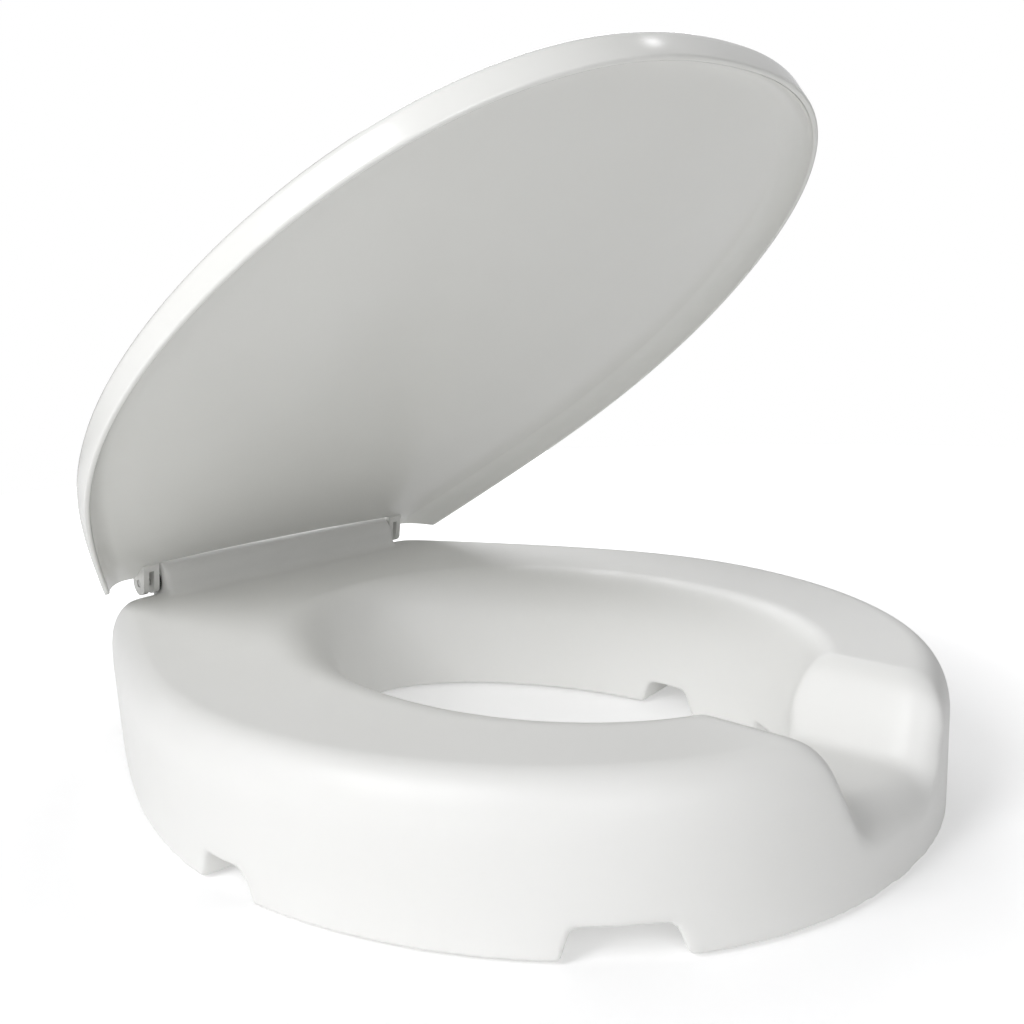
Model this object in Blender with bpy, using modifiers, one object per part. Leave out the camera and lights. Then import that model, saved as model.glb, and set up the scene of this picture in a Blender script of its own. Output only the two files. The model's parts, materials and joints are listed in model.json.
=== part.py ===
"""Raised toilet seat with a hinged lid, as a set of separate solids in metres, +Z up.

The thick moulded seat body stands on four rubber pads and has an egg-shaped opening, a
hygiene recess across its front and four bracket channels under it.  A hinge block on its
rear edge carries the thin dished lid on two steel pins, each with a nylon bush and a
friction washer.  The front of the seat faces -Y, and the origin is at the middle of the
footprint, on the surface that the pads stand on.
"""
import math

import bmesh
import bpy
from mathutils import Matrix, Vector

# Seat body.  Its outline is an egg whose sides taper and whose rear is cut straight
BODY_LENGTH = 0.4285
BODY_HEIGHT = 0.064
PAD_PROUD = 0.001            # the pads hold the body this far off the surface
BODY_EGG = (0.0250, 0.1823, 0.2768, 2.137)   # middle Y, half width, rear reach, power
BODY_TAPER = (22.73, 0.1773)                 # angle of the tapering sides, distance out
TAPER_POWER = 12.0           # how gently the egg turns into the tapering sides
CORNER_POWER = 30.0          # how tightly the sides turn into the straight rear
OUTER_ROUNDING = (0.014, 0.020)  # rounding of the outer top edge: across, and down
OUTER_DRAFT = 0.001

# Opening: its edge under the body, and the line where the top begins to roll into it
HOLE_WIDEST_Y = -0.036
HOLE_HALF = 0.0845
HOLE_FRONT = 0.118
HOLE_REAR = 0.141
HOLE_POWERS = (2.0, 1.75)    # of its front and of its narrower rear
ROLL_WIDEST_Y = -0.023
ROLL_HALF = 0.115
ROLL_REACH = 0.145
ROLL_POWER = 2.2
ROLL_DEPTH = 0.035           # the roll starts this far down the inner wall

# Hygiene recess across the front
SCOOP_FLOOR_Z = 0.033
SCOOP_FLOOR_HALF = 0.0235
SCOOP_TOP_HALF = 0.0378
SCOOP_FLOOR_RADIUS = 0.008
SCOOP_TOP_RADIUS = 0.016
SCOOP_END_RADIUS = 0.016     # rounding where the recess runs out of the front wall
SCOOP_END_SHARE = 0.5        # how much less the side walls are rounded there than the floor
SCOOP_HOLE_RADIUS = 0.004    # and where it runs into the opening

# Bracket channels under the body
CHANNEL_HEIGHT = 0.0123
CHANNEL_DRAFT = 0.0043
SIDE_CHANNEL_WIDTH = 0.032
SIDE_CHANNEL_OUTER = (0.1753, -0.026)
SIDE_CHANNEL_INNER = (0.0798, -0.0395)
FRONT_CHANNEL_WIDTH = 0.0433
FRONT_CHANNEL_OUTER = (0.1092, -0.169)
FRONT_CHANNEL_ANGLE = 46.8   # degrees from the X axis

# Hinge
BLOCK_HALF = 0.083
BLOCK_NOSE_RADIUS = 0.0128   # round front edge of the hinge block, about the hinge axis
HINGE_Y = 0.2045
HINGE_RISE = 0.0075          # height of the hinge axis above the seat's top
LID_OPEN = 34.25             # degrees between the closed lid and the modelled pose
PIN_RADIUS = 0.0020
BUSH_RADIUS = 0.0031
FIT_GAP = 0.0003
BORE_DEPTH = 0.018
WASHER_THICKNESS = 0.0012
WASHER_RADIUS = 0.0060

# Lid, as it lies when closed
LID_FRONT_Y = -0.2157
LID_EGG = (0.0353, 0.1795, 0.2757, 2.319)
LID_TAPER = (23.59, 0.1756)
LID_DEPTH = 0.0145
LID_WALL = 0.0028
LID_EDGE_RADIUS = 0.0045
LID_CROWN = 0.003
LID_CUT_RIM_Y = 0.1925       # the slanted rear cut, at the rim and at the top
LID_CUT_TOP_Y = 0.2100
NOTCH_Y = 0.1915             # front edge of the notch that clears the hinge block
EAR_INNER = 0.0848
EAR_WIDTH = 0.0096
EAR_RADIUS = 0.0070
EAR_REACH = 0.013            # how far the ear runs forward under the lid
EAR_SLOT = (0.0880, 0.0911)  # the cored slot in each ear, in which the pin shows

# Pads
PAD_SIZE = (0.014, 0.052)
PAD_THICKNESS = 0.0017
PAD_RECESS = 0.001
PAD_PLACES = ((0.1330, -0.0950, -24.0), (0.1270, 0.0900, 21.0))

BODY_TOP = PAD_PROUD + BODY_HEIGHT
HINGE_Z = BODY_TOP + HINGE_RISE
RIM_Z = BODY_TOP + FIT_GAP   # height of the closed lid's rim
BODY_STEPS = 96
LID_STEPS = 72
ROUND_SIDES = 32

for stale in list(bpy.data.objects):
    bpy.data.objects.remove(stale, do_unlink=True)

PARTS = bpy.data.collections.new("raised_toilet_seat")
CUTTERS = bpy.data.collections.new("cutters")
bpy.context.scene.collection.children.link(PARTS)
bpy.context.scene.collection.children.link(CUTTERS)


def material(name, colour, roughness, metallic=0.0):
    """Principled material in one colour."""
    mat = bpy.data.materials.new(name)
    mat.use_nodes = True
    shader = mat.node_tree.nodes["Principled BSDF"]
    shader.inputs["Base Color"].default_value = (*colour, 1.0)
    shader.inputs["Roughness"].default_value = roughness
    shader.inputs["Metallic"].default_value = metallic
    return mat


def new_object(name, bm, mat=None, origin=(0.0, 0.0, 0.0)):
    """Object made from a bmesh in world coordinates: a part, or a cutter without a material."""
    bmesh.ops.translate(bm, verts=bm.verts, vec=-Vector(origin))
    bmesh.ops.recalc_face_normals(bm, faces=bm.faces)
    mesh = bpy.data.meshes.new(name)
    bm.to_mesh(mesh)
    bm.free()
    obj = bpy.data.objects.new(name, mesh)
    obj.location = origin
    if mat is None:
        obj.hide_render = True
        obj.display_type = "WIRE"
        CUTTERS.objects.link(obj)
        return obj
    mesh.materials.append(mat)
    mesh.shade_smooth()
    mesh.set_sharp_from_angle(angle=math.radians(35.0))
    PARTS.objects.link(obj)
    return obj


def boolean(target, other, operation="DIFFERENCE"):
    """Exact Boolean of a part with one cutter or one piece that joins it."""
    mod = target.modifiers.new(other.name, "BOOLEAN")
    mod.operation = operation
    mod.solver = "EXACT"
    mod.object = other


def bridge(bm, lower, upper):
    """Quads between two loops with the same number of points."""
    count = len(lower)
    for i in range(count):
        j = (i + 1) % count
        bm.faces.new((lower[i], lower[j], upper[j], upper[i]))


def loft(loops, closed):
    """Skin through loops of points: closed joins the last to the first, else both ends are capped."""
    bm = bmesh.new()
    rings = [[bm.verts.new(p) for p in loop] for loop in loops]
    for lower, upper in zip(rings, rings[1:]):
        bridge(bm, lower, upper)
    if closed:
        bridge(bm, rings[-1], rings[0])
    else:
        bm.faces.new(rings[0])
        bm.faces.new(rings[-1])
    return bm


def extruded(points, sweep):
    """Solid made by sweeping a flat outline of points along a vector."""
    bm = bmesh.new()
    face = bm.faces.new([bm.verts.new(p) for p in points])
    swept = bmesh.ops.extrude_face_region(bm, geom=[face])["geom"]
    moved = [item for item in swept if isinstance(item, bmesh.types.BMVert)]
    bmesh.ops.translate(bm, verts=moved, vec=sweep)
    return bm


def prism(outline, low, high):
    """Solid between two X planes on an outline of (y, z) points."""
    return extruded([(low, y, z) for y, z in outline], (high - low, 0.0, 0.0))


def fan_cap(bm, ring, apex):
    """Close a ring of vertices with triangles to one middle point."""
    middle = bm.verts.new(apex)
    for i, vert in enumerate(ring):
        bm.faces.new((vert, ring[(i + 1) % len(ring)], middle))


def egg_gauge(theta, half_width, front, rear, power):
    """One over the polar radius of an egg outline, with one power all round."""
    across = abs(math.cos(theta)) / half_width
    along = math.sin(theta)
    reach = front if along <= 0.0 else rear
    return (across ** power + (abs(along) / reach) ** power) ** (1.0 / power)


def blend(first, second, power):
    """Gauge of the shape inside both of two outlines, its corners rounded off."""
    return (first ** power + max(second, 0.0) ** power) ** (1.0 / power)


def tapered_gauge(theta, shape, taper, front_y):
    """Egg with tapering sides: shape is its middle, half width, rear reach and power."""
    middle, half_width, rear, power = shape
    angle, distance = math.radians(taper[0]), taper[1]
    side = abs(math.cos(theta)) * math.cos(angle) + math.sin(theta) * math.sin(angle)
    return blend(egg_gauge(theta, half_width, middle - front_y, rear, power), side / distance,
                 TAPER_POWER)


def around(steps, centre_y, gauge):
    """Points (x, y) of a polar outline about a point on the Y axis, starting at the rear."""
    angles = [math.pi / 2.0 + math.tau * i / steps for i in range(steps)]
    return [(math.cos(a) / gauge(a), centre_y + math.sin(a) / gauge(a)) for a in angles]


def body_gauge(theta):
    """Seat outline, cut off by the straight rear edge with rounded corners."""
    half_length = BODY_LENGTH / 2.0
    straight = math.sin(theta) / (half_length - BODY_EGG[0])
    return blend(tapered_gauge(theta, BODY_EGG, BODY_TAPER, -half_length), straight, CORNER_POWER)


def hole_gauge(theta):
    power = HOLE_POWERS[0] if math.sin(theta) <= 0.0 else HOLE_POWERS[1]
    return egg_gauge(theta, HOLE_HALF, HOLE_FRONT, HOLE_REAR, power)


def roll_gauge(theta):
    return egg_gauge(theta, ROLL_HALF, ROLL_REACH, ROLL_REACH, ROLL_POWER)


def lid_gauge(theta):
    return tapered_gauge(theta, LID_EGG, LID_TAPER, LID_FRONT_Y)


def inset(outline, distance):
    """Outline moved inward along its own normals."""
    moved = []
    count = len(outline)
    for i, (x, y) in enumerate(outline):
        before = Vector(outline[i - 1])
        after = Vector(outline[(i + 1) % count])
        along = (after - before).normalized()
        moved.append((x - along.y * distance, y + along.x * distance))
    return moved


def arc(centre, radius, start, end, steps):
    """Points (u, v) on an arc, with its angles in degrees."""
    angles = [math.radians(start + (end - start) * i / steps) for i in range(steps + 1)]
    return [(centre[0] + radius * math.cos(a), centre[1] + radius * math.sin(a)) for a in angles]


def fillet(points, radii, steps):
    """Open path whose inner corners are replaced by arcs of the given radii."""
    path = [points[0]]
    for before, corner, after, radius in zip(points, points[1:], points[2:], radii):
        here = Vector(corner)
        back = (Vector(before) - here).normalized()
        ahead = (Vector(after) - here).normalized()
        half = back.angle(ahead) / 2.0
        middle = here + (back + ahead).normalized() * radius / math.sin(half)
        start = here + back * radius / math.tan(half) - middle
        end = here + ahead * radius / math.tan(half) - middle
        turn = start.angle_signed(end)
        for i in range(steps + 1):
            path.append(tuple(middle + Matrix.Rotation(-turn * i / steps, 2) @ start))
    path.append(points[-1])
    return path


def body_loops():
    """Loops of the seat ring, up its outer wall, over the top and down into the opening."""
    base = around(BODY_STEPS, BODY_EGG[0], body_gauge)
    hole = around(BODY_STEPS, HOLE_WIDEST_Y, hole_gauge)
    roll = around(BODY_STEPS, ROLL_WIDEST_Y, roll_gauge)
    across, down = OUTER_ROUNDING
    loops = [[(x, y, PAD_PROUD) for x, y in inset(base, OUTER_DRAFT)]]
    for du, dv in arc((0.0, 0.0), 1.0, 0.0, 90.0, 6):
        ring = inset(base, across * (1.0 - du))
        loops.append([(x, y, BODY_TOP - down * (1.0 - dv)) for x, y in ring])
    for i in range(7):
        angle = math.radians(90.0 * i / 6)
        height = BODY_TOP - ROLL_DEPTH * (1.0 - math.cos(angle))
        t = 1.0 - math.sin(angle)
        loops.append([(h[0] + (r[0] - h[0]) * t, h[1] + (r[1] - h[1]) * t, height)
                      for h, r in zip(hole, roll)])
    loops.append([(x, y, PAD_PROUD) for x, y in hole])
    return loops


def block_outline():
    """Side view of the hinge block: foot in front, nose concentric with the hinge, flat top, rear."""
    nose = arc((HINGE_Y, HINGE_Z), BLOCK_NOSE_RADIUS, 166.0, 60.0, 14)
    top = nose[-1][1]
    rear = BODY_LENGTH / 2.0 - 0.0008
    foot = BODY_TOP - 0.024
    front = fillet([(0.150, foot), (0.1830, BODY_TOP - 0.0010), (0.1912, BODY_TOP + 0.0030), nose[0]],
                   [0.002, 0.008], 3)
    back = fillet([nose[-1], (rear, top), (rear, foot)], [0.002], 3)
    return front + nose[1:-1] + back


def scoop_outline():
    """Closed section of the recess cutter: floor, sloping sides, and wings just above the top."""
    over = BODY_TOP + 0.0004
    wing = SCOOP_TOP_HALF + 0.030
    half = fillet([(0.0, SCOOP_FLOOR_Z), (SCOOP_FLOOR_HALF, SCOOP_FLOOR_Z), (SCOOP_TOP_HALF, over),
                   (wing, over)], [SCOOP_FLOOR_RADIUS, SCOOP_TOP_RADIUS], 5)
    half.append((wing, over + 0.060))
    return half + [(-x, z) for x, z in reversed(half[1:])]


def egg_front(x, middle_y, half_width, reach, power):
    """Y of the front half of an egg outline at a distance x from its middle."""
    return middle_y - reach * (1.0 - (abs(x) / half_width) ** power) ** (1.0 / power)


def scoop_stations():
    """(wall, depth, flare) of each section: wall 0 is the opening's, wall 1 the outer one."""
    stations = []
    for wall, radius in ((0, SCOOP_HOLE_RADIUS), (1, SCOOP_END_RADIUS)):
        steps = [(-0.030, radius)]
        for u, v in arc((radius, radius), radius, 180.0, 270.0, 4):
            steps.append((u, v))
        if wall:
            steps.reverse()
        stations += [(wall, depth, flare) for depth, flare in steps]
    return stations


def scoop_cutter():
    """Recess cutter, which flares where it runs out of the opening and of the front wall."""
    outline = scoop_outline()
    middle, half_width, _, power = BODY_EGG
    front = BODY_LENGTH / 2.0 + middle
    loops = []
    for wall, depth, flare in scoop_stations():
        loop = []
        for (x, z), (x0, _) in zip(inset(outline, -flare), outline):
            if wall:
                x = x0 + (x - x0) * SCOOP_END_SHARE
                y = egg_front(x0, middle, half_width, front, power) + depth
            else:
                y = egg_front(x0, HOLE_WIDEST_Y, HOLE_HALF, HOLE_FRONT, HOLE_POWERS[0]) - depth
            loop.append((x, y, z))
        loops.append(loop)
    return new_object("scoop_cutter", loft(loops, closed=False))


def channel_cutter(name, inner, outer, width):
    """Tapered bar along a bracket channel, from (x, y) inside the wall to (x, y) outside it."""
    start = Vector((*inner, 0.0))
    along = Vector((*outer, 0.0)) - start
    low = PAD_PROUD - 0.004
    high = PAD_PROUD + CHANNEL_HEIGHT
    slope = CHANNEL_DRAFT / CHANNEL_HEIGHT
    foot = width / 2.0 + slope * 0.004
    head = width / 2.0 - CHANNEL_DRAFT
    half = fillet([(foot, low), (head, high), (0.0, high)], [0.003], 3)[:-1]
    section = half + [(-u, z) for u, z in reversed(half)]
    side = Vector((-along.y, along.x, 0.0)).normalized()
    loops = []
    for end in (start - along.normalized() * 0.020, start + along):
        loops.append([end + side * u + Vector((0.0, 0.0, z)) for u, z in section])
    return new_object(name, loft(loops, closed=False))


def channel_cutters():
    """The two side channels, splayed a little to the rear, and the two front ones."""
    angle = math.radians(FRONT_CHANNEL_ANGLE)
    cutters = []
    for side, tag in ((-1.0, "left"), (1.0, "right")):
        (outer_x, outer_y), (inner_x, inner_y) = SIDE_CHANNEL_OUTER, SIDE_CHANNEL_INNER
        slope = (outer_y - inner_y) / (outer_x - inner_x)
        outside = (side * (outer_x + 0.02), outer_y + slope * 0.02)
        cutters.append(channel_cutter("side_channel_cutter_" + tag, (side * inner_x, inner_y),
                                      outside, SIDE_CHANNEL_WIDTH))
        x, y = FRONT_CHANNEL_OUTER
        ux, uy = math.cos(angle), -math.sin(angle)
        cutters.append(channel_cutter("front_channel_cutter_" + tag,
                                      (side * (x - 0.070 * ux), y - 0.070 * uy),
                                      (side * (x + 0.030 * ux), y + 0.030 * uy),
                                      FRONT_CHANNEL_WIDTH))
    return cutters


def put_on_axis(obj, low, high):
    """Lay an object that was made along Z on the hinge axis, between two X planes."""
    obj.location = ((low + high) / 2.0, HINGE_Y, HINGE_Z)
    obj.rotation_euler.y = math.pi / 2.0
    return obj


def hinge_bar(name, radius, low, high, mat=None):
    """Round bar on the hinge axis: a pin, or the cutter of a bore."""
    bm = bmesh.new()
    bmesh.ops.create_cone(bm, cap_ends=True, segments=ROUND_SIDES, radius1=radius, radius2=radius,
                          depth=abs(high - low))
    return put_on_axis(new_object(name, bm, mat), low, high)


def sleeve(name, bore, radius, low, high, mat):
    """Plain tube or ring on the hinge axis: its section turned by a Screw modifier."""
    half = abs(high - low) / 2.0
    bm = bmesh.new()
    corners = [bm.verts.new((r, 0.0, z))
               for r, z in ((radius, half), (radius, -half), (bore, -half), (bore, half))]
    for i, corner in enumerate(corners):
        bm.edges.new((corners[i - 1], corner))
    turned = new_object(name, bm, mat)
    screw = turned.modifiers.new("turn", "SCREW")
    screw.steps = ROUND_SIDES
    screw.render_steps = ROUND_SIDES
    screw.use_merge_vertices = True
    screw.merge_threshold = 0.00002
    return put_on_axis(turned, low, high)


def pad_blank(place, size, low, high):
    """Rounded bar for a pad or for its recess, turned to follow the seat."""
    x, y, turn = place
    half_w, half_l = size[0] / 2.0, size[1] / 2.0
    corner = half_w * 0.6
    outline = []
    for cx, cy, start in ((1, 1, 0), (-1, 1, 90), (-1, -1, 180), (1, -1, 270)):
        centre = (cx * (half_w - corner), cy * (half_l - corner))
        outline += arc(centre, corner, start, start + 90.0, 4)
    turned = Matrix.Translation((x, y, low)) @ Matrix.Rotation(math.radians(turn), 4, "Z")
    return extruded([turned @ Vector((u, v, 0.0)) for u, v in outline], (0.0, 0.0, high - low))


def pad_places():
    """(name, (x, y, turn)) of the four pads."""
    for (x, y, turn), row in zip(PAD_PLACES, ("front", "rear")):
        for side, tag in ((-1.0, "left"), (1.0, "right")):
            yield f"{row}_{tag}", (side * x, y, side * turn)


def seat_body(mat):
    """Moulded seat: ring and hinge block, less the recess, channels, pin bores and pad recesses."""
    body = new_object("seat_body", loft(body_loops(), closed=True), mat)
    block = prism(block_outline(), -BLOCK_HALF, BLOCK_HALF)
    boolean(body, new_object("hinge_block", block), "UNION")
    boolean(body, scoop_cutter())
    for cutter in channel_cutters():
        boolean(body, cutter)
    bore = BUSH_RADIUS + FIT_GAP
    for side, tag in ((-1.0, "left"), (1.0, "right")):
        low, high = side * (BLOCK_HALF - BORE_DEPTH), side * (BLOCK_HALF + 0.005)
        boolean(body, hinge_bar("bore_cutter_" + tag, bore, low, high))
    recess = (PAD_SIZE[0] + 2.0 * FIT_GAP, PAD_SIZE[1] + 2.0 * FIT_GAP)
    for tag, place in pad_places():
        blank = pad_blank(place, recess, PAD_PROUD - 0.003, PAD_PROUD + PAD_RECESS)
        boolean(body, new_object("pad_cutter_" + tag, blank))
    return body


def pads(mat):
    """Four rubber pads glued into the recesses under the body."""
    for tag, place in pad_places():
        new_object("non_slip_pad_" + tag, pad_blank(place, PAD_SIZE, 0.0, PAD_THICKNESS), mat)


def lid_surface():
    """Outer face of the closed lid, from its rim up the wall, round the edge and over the crown."""
    bm = bmesh.new()
    middle = LID_EGG[0]
    outline = around(LID_STEPS, middle, lid_gauge)
    top = RIM_Z + LID_DEPTH
    rings = [[bm.verts.new((x, y, RIM_Z)) for x, y in outline]]
    for du, dv in arc((0.0, 0.0), LID_EDGE_RADIUS, 0.0, 90.0, 4):
        loop = inset(outline, LID_EDGE_RADIUS - du)
        rings.append([bm.verts.new((x, y, top - LID_EDGE_RADIUS + dv)) for x, y in loop])
    flat = inset(outline, LID_EDGE_RADIUS)
    for scale in (0.75, 0.5, 0.25):
        height = top + LID_CROWN * (1.0 - scale * scale)
        rings.append([bm.verts.new((x * scale, middle + (y - middle) * scale, height))
                      for x, y in flat])
    for lower, upper in zip(rings, rings[1:]):
        bridge(bm, lower, upper)
    fan_cap(bm, rings[-1], (0.0, middle, top + LID_CROWN))
    return bm


def rear_cutter():
    """Slanted cut across the rear of the lid."""
    run = (LID_CUT_TOP_Y - LID_CUT_RIM_Y) / LID_DEPTH
    outline = [(LID_CUT_RIM_Y - 0.006 * run, RIM_Z - 0.006),
               (LID_CUT_RIM_Y + 0.030 * run, RIM_Z + 0.030),
               (0.400, RIM_Z + 0.030), (0.400, RIM_Z - 0.006)]
    return new_object("rear_cutter", prism(outline, -0.200, 0.200))


def notch_cutter():
    """Notch between the ears, which clears the hinge block."""
    low, high = RIM_Z - 0.010, RIM_Z + 0.040
    outline = [(NOTCH_Y, low), (0.300, low), (0.300, high), (NOTCH_Y, high)]
    return new_object("notch_cutter", prism(outline, -EAR_INNER, EAR_INNER))


def ear(side, tag):
    """Hinge ear: a rib under the lid that ends in a round boss on the hinge axis."""
    top = HINGE_Z + EAR_RADIUS
    outline = arc((HINGE_Y, HINGE_Z), EAR_RADIUS, -110.0, 90.0, 12)
    outline += [(HINGE_Y - EAR_REACH, top), (HINGE_Y - EAR_REACH, RIM_Z + LID_DEPTH - LID_WALL - 0.0005)]
    low, high = sorted((side * EAR_INNER, side * (EAR_INNER + EAR_WIDTH)))
    return new_object("ear_" + tag, prism(outline, low, high))


def ear_slot_cutter(side, tag):
    """Cored slot in an ear, open below and behind, with the web left whole above it."""
    high = HINGE_Z + 0.0036
    outline = [(HINGE_Y - 0.016, RIM_Z - 0.010), (HINGE_Y + 0.015, RIM_Z - 0.010),
               (HINGE_Y + 0.015, high), (HINGE_Y - 0.010, high)]
    low, high = sorted((side * EAR_SLOT[0], side * EAR_SLOT[1]))
    return new_object("ear_slot_cutter_" + tag, prism(outline, low, high))


def lid(mat):
    """Thin dished lid with its two hinge ears, modelled closed."""
    shell = new_object("lid", lid_surface(), mat)
    wall = shell.modifiers.new("wall", "SOLIDIFY")
    wall.thickness = LID_WALL
    wall.offset = -1.0
    wall.use_even_offset = True
    boolean(shell, rear_cutter())
    boolean(shell, notch_cutter())
    for side, tag in ((-1.0, "left"), (1.0, "right")):
        boolean(shell, ear(side, tag), "UNION")
        boolean(shell, ear_slot_cutter(side, tag))
        low, high = side * (EAR_INNER - 0.004), side * (EAR_INNER + EAR_WIDTH + 0.004)
        boolean(shell, hinge_bar("ear_bore_cutter_" + tag, PIN_RADIUS + FIT_GAP, low, high))
    return shell


def hinge_hardware(steel, nylon, washer_mat):
    """Pins, bushes and friction washers on both sides."""
    pins = []
    for side, tag in ((-1.0, "left"), (1.0, "right")):
        inner_end = BLOCK_HALF - BORE_DEPTH + 0.0015
        outer_end = EAR_INNER + EAR_WIDTH - 0.0004
        pins.append(hinge_bar("hinge_pin_" + tag, PIN_RADIUS, side * inner_end, side * outer_end, steel))
        sleeve("hinge_bush_" + tag, PIN_RADIUS + FIT_GAP, BUSH_RADIUS, side * (inner_end - 0.0010),
               side * (BLOCK_HALF - 0.0002), nylon)
        start = BLOCK_HALF + FIT_GAP
        sleeve("friction_washer_" + tag, PIN_RADIUS + FIT_GAP, WASHER_RADIUS, side * start,
               side * (start + WASHER_THICKNESS), washer_mat)
    return pins


def hang_on_hinge(pieces):
    """Parent the pieces that swing to an empty on the hinge axis, and open it."""
    hinge = bpy.data.objects.new("lid_hinge", None)
    hinge.location = (0.0, HINGE_Y, HINGE_Z)
    PARTS.objects.link(hinge)
    for piece in pieces:
        piece.parent = hinge
        piece.matrix_parent_inverse = Matrix.Translation((0.0, -HINGE_Y, -HINGE_Z))
    hinge.rotation_euler.x = -math.radians(LID_OPEN)


def weld(target):
    """Close up the hair-thin edges that a chain of Booleans can leave."""
    mod = target.modifiers.new("weld", "WELD")
    mod.merge_threshold = 0.00002


def build():
    satin = material("seat_plastic", (0.86, 0.86, 0.84), 0.45)
    gloss = material("lid_plastic", (0.86, 0.86, 0.85), 0.18)
    steel = material("pin_steel", (0.62, 0.62, 0.60), 0.35, 1.0)
    nylon = material("bush_nylon", (0.78, 0.77, 0.72), 0.50)
    grey = material("washer_rubber", (0.16, 0.16, 0.16), 0.70)
    rubber = material("pad_rubber", (0.42, 0.42, 0.41), 0.80)
    weld(seat_body(satin))
    pads(rubber)
    cover = lid(gloss)
    lid_tools = [mod.object for mod in cover.modifiers if mod.type == "BOOLEAN"]
    weld(cover)
    hang_on_hinge([cover] + lid_tools + hinge_hardware(steel, nylon, grey))


build()
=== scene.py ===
"""Looks of a raised toilet seat with its lid part open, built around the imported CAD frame.

The seat body and the lid are remade with fine, softly rounded surfaces on the CAD's own
formulas.  The hinge hardware stays as it is in the CAD and gets better materials, and the
pads are remade with rounded edges.  Sizes are in metres, angles in degrees, and places come
from the frame.
"""
import json
import math

import bmesh
import bpy
from mathutils import Matrix, Vector


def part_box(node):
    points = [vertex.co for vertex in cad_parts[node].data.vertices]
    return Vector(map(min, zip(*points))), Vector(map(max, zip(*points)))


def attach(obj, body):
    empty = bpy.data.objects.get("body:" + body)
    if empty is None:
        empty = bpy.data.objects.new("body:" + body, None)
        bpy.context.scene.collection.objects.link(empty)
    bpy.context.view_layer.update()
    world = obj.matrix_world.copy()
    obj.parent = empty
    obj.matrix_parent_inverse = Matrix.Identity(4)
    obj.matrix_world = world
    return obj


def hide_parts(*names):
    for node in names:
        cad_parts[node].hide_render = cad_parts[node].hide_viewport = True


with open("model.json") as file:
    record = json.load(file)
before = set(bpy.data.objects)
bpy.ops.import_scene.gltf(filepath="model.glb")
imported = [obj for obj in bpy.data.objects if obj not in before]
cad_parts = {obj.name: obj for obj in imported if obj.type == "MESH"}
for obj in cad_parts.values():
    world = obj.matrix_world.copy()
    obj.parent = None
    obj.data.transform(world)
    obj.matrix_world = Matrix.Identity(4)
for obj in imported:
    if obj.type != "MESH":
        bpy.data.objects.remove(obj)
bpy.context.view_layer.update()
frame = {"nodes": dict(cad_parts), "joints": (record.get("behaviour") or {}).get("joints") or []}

body_low, body_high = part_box("seat_body")
joint = frame["joints"][0]

# Seat body, as in the CAD
PAD_PROUD = body_low.z
HINGE_RISE = 0.0075
BODY_TOP = joint["pos_m"][2] - HINGE_RISE
HALF_LENGTH = body_high.y
BODY_EGG = (0.0250, 0.1823, 0.2768, 2.137)   # middle Y, half width, rear reach, power
BODY_TAPER = (22.73, 0.1773)                 # angle of the tapering sides, distance out
TAPER_POWER = 12.0
CORNER_POWER = 30.0
OUTER_ROUNDING = (0.014, 0.020)              # across and down
OUTER_DRAFT = 0.001

HOLE_WIDEST_Y = -0.036
HOLE_HALF = 0.0845
HOLE_FRONT = 0.118
HOLE_REAR = 0.141
HOLE_POWERS = (2.0, 1.75)                    # front half, rear half
ROLL_WIDEST_Y = -0.023
ROLL_HALF = 0.115
ROLL_REACH = 0.145
ROLL_POWER = 2.2
ROLL_DEPTH = 0.035

# Hygiene recess, a little wider at the top and rounder at its outer end than in the CAD
SCOOP_FLOOR_Z = 0.033
SCOOP_FLOOR_HALF = 0.0235
SCOOP_TOP_HALF = 0.0405
SCOOP_FLOOR_RADIUS = 0.007
SCOOP_TOP_RADIUS = 0.016
SCOOP_END_RADIUS = 0.017
SCOOP_END_SHARE = 0.9                        # the side walls' rounding there, as a share of the floor's
SCOOP_HOLE_RADIUS = 0.004
SCOOP_ABOVE = 0.0004                         # the cutter's wings above the seat's top
SCOOP_WING = 0.030                           # how far they reach past the recess's edges
SCOOP_HEAD = 0.060
SCOOP_RUNOUT = 0.030                         # the cutter past the opening's and the outer wall

# Bracket channels
CHANNEL_HEIGHT = 0.0123
CHANNEL_DRAFT = 0.0043
CHANNEL_CORNER = 0.003
CHANNEL_BELOW = 0.004                        # the cutter below the seat's underside
CHANNEL_RUNOUT = 0.020                       # the cutter past the wall, at either end
SIDE_CHANNEL_WIDTH = 0.032
SIDE_CHANNEL_OUTER = (0.1753, -0.026)
SIDE_CHANNEL_INNER = (0.0798, -0.0395)
FRONT_CHANNEL_WIDTH = 0.0433
FRONT_CHANNEL_OUTER = (0.1092, -0.169)
FRONT_CHANNEL_ANGLE = 46.8
FRONT_CHANNEL_REACH = (0.070, 0.030)         # inward and outward of its outer point

# Hinge
BLOCK_HALF = 0.083
BLOCK_NOSE_RADIUS = 0.0128
BLOCK_FRONT = ((0.150, -0.024), (0.1830, -0.0010), (0.1912, 0.0030))    # Y, Z above the seat's top
BLOCK_FRONT_RADII = (0.002, 0.008)
BLOCK_REAR_GAP = 0.0008
BLOCK_REAR_RADIUS = 0.002
NOSE_LIP = 0.0005                            # stand-out of the nose's front, towards the lid
NOSE_FRONT = (166.0, 114.0)                  # angles about the hinge axis
NOSE_TOP = (100.0, 60.0)
HINGE = Vector(joint["pos_m"])
LID_OPEN = -joint["range_deg"][0]
PIN_RADIUS = 0.0020
BUSH_RADIUS = 0.0031
FIT_GAP = 0.0003
BORE_DEPTH = 0.018
BORE_RUNOUT = 0.005

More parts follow.
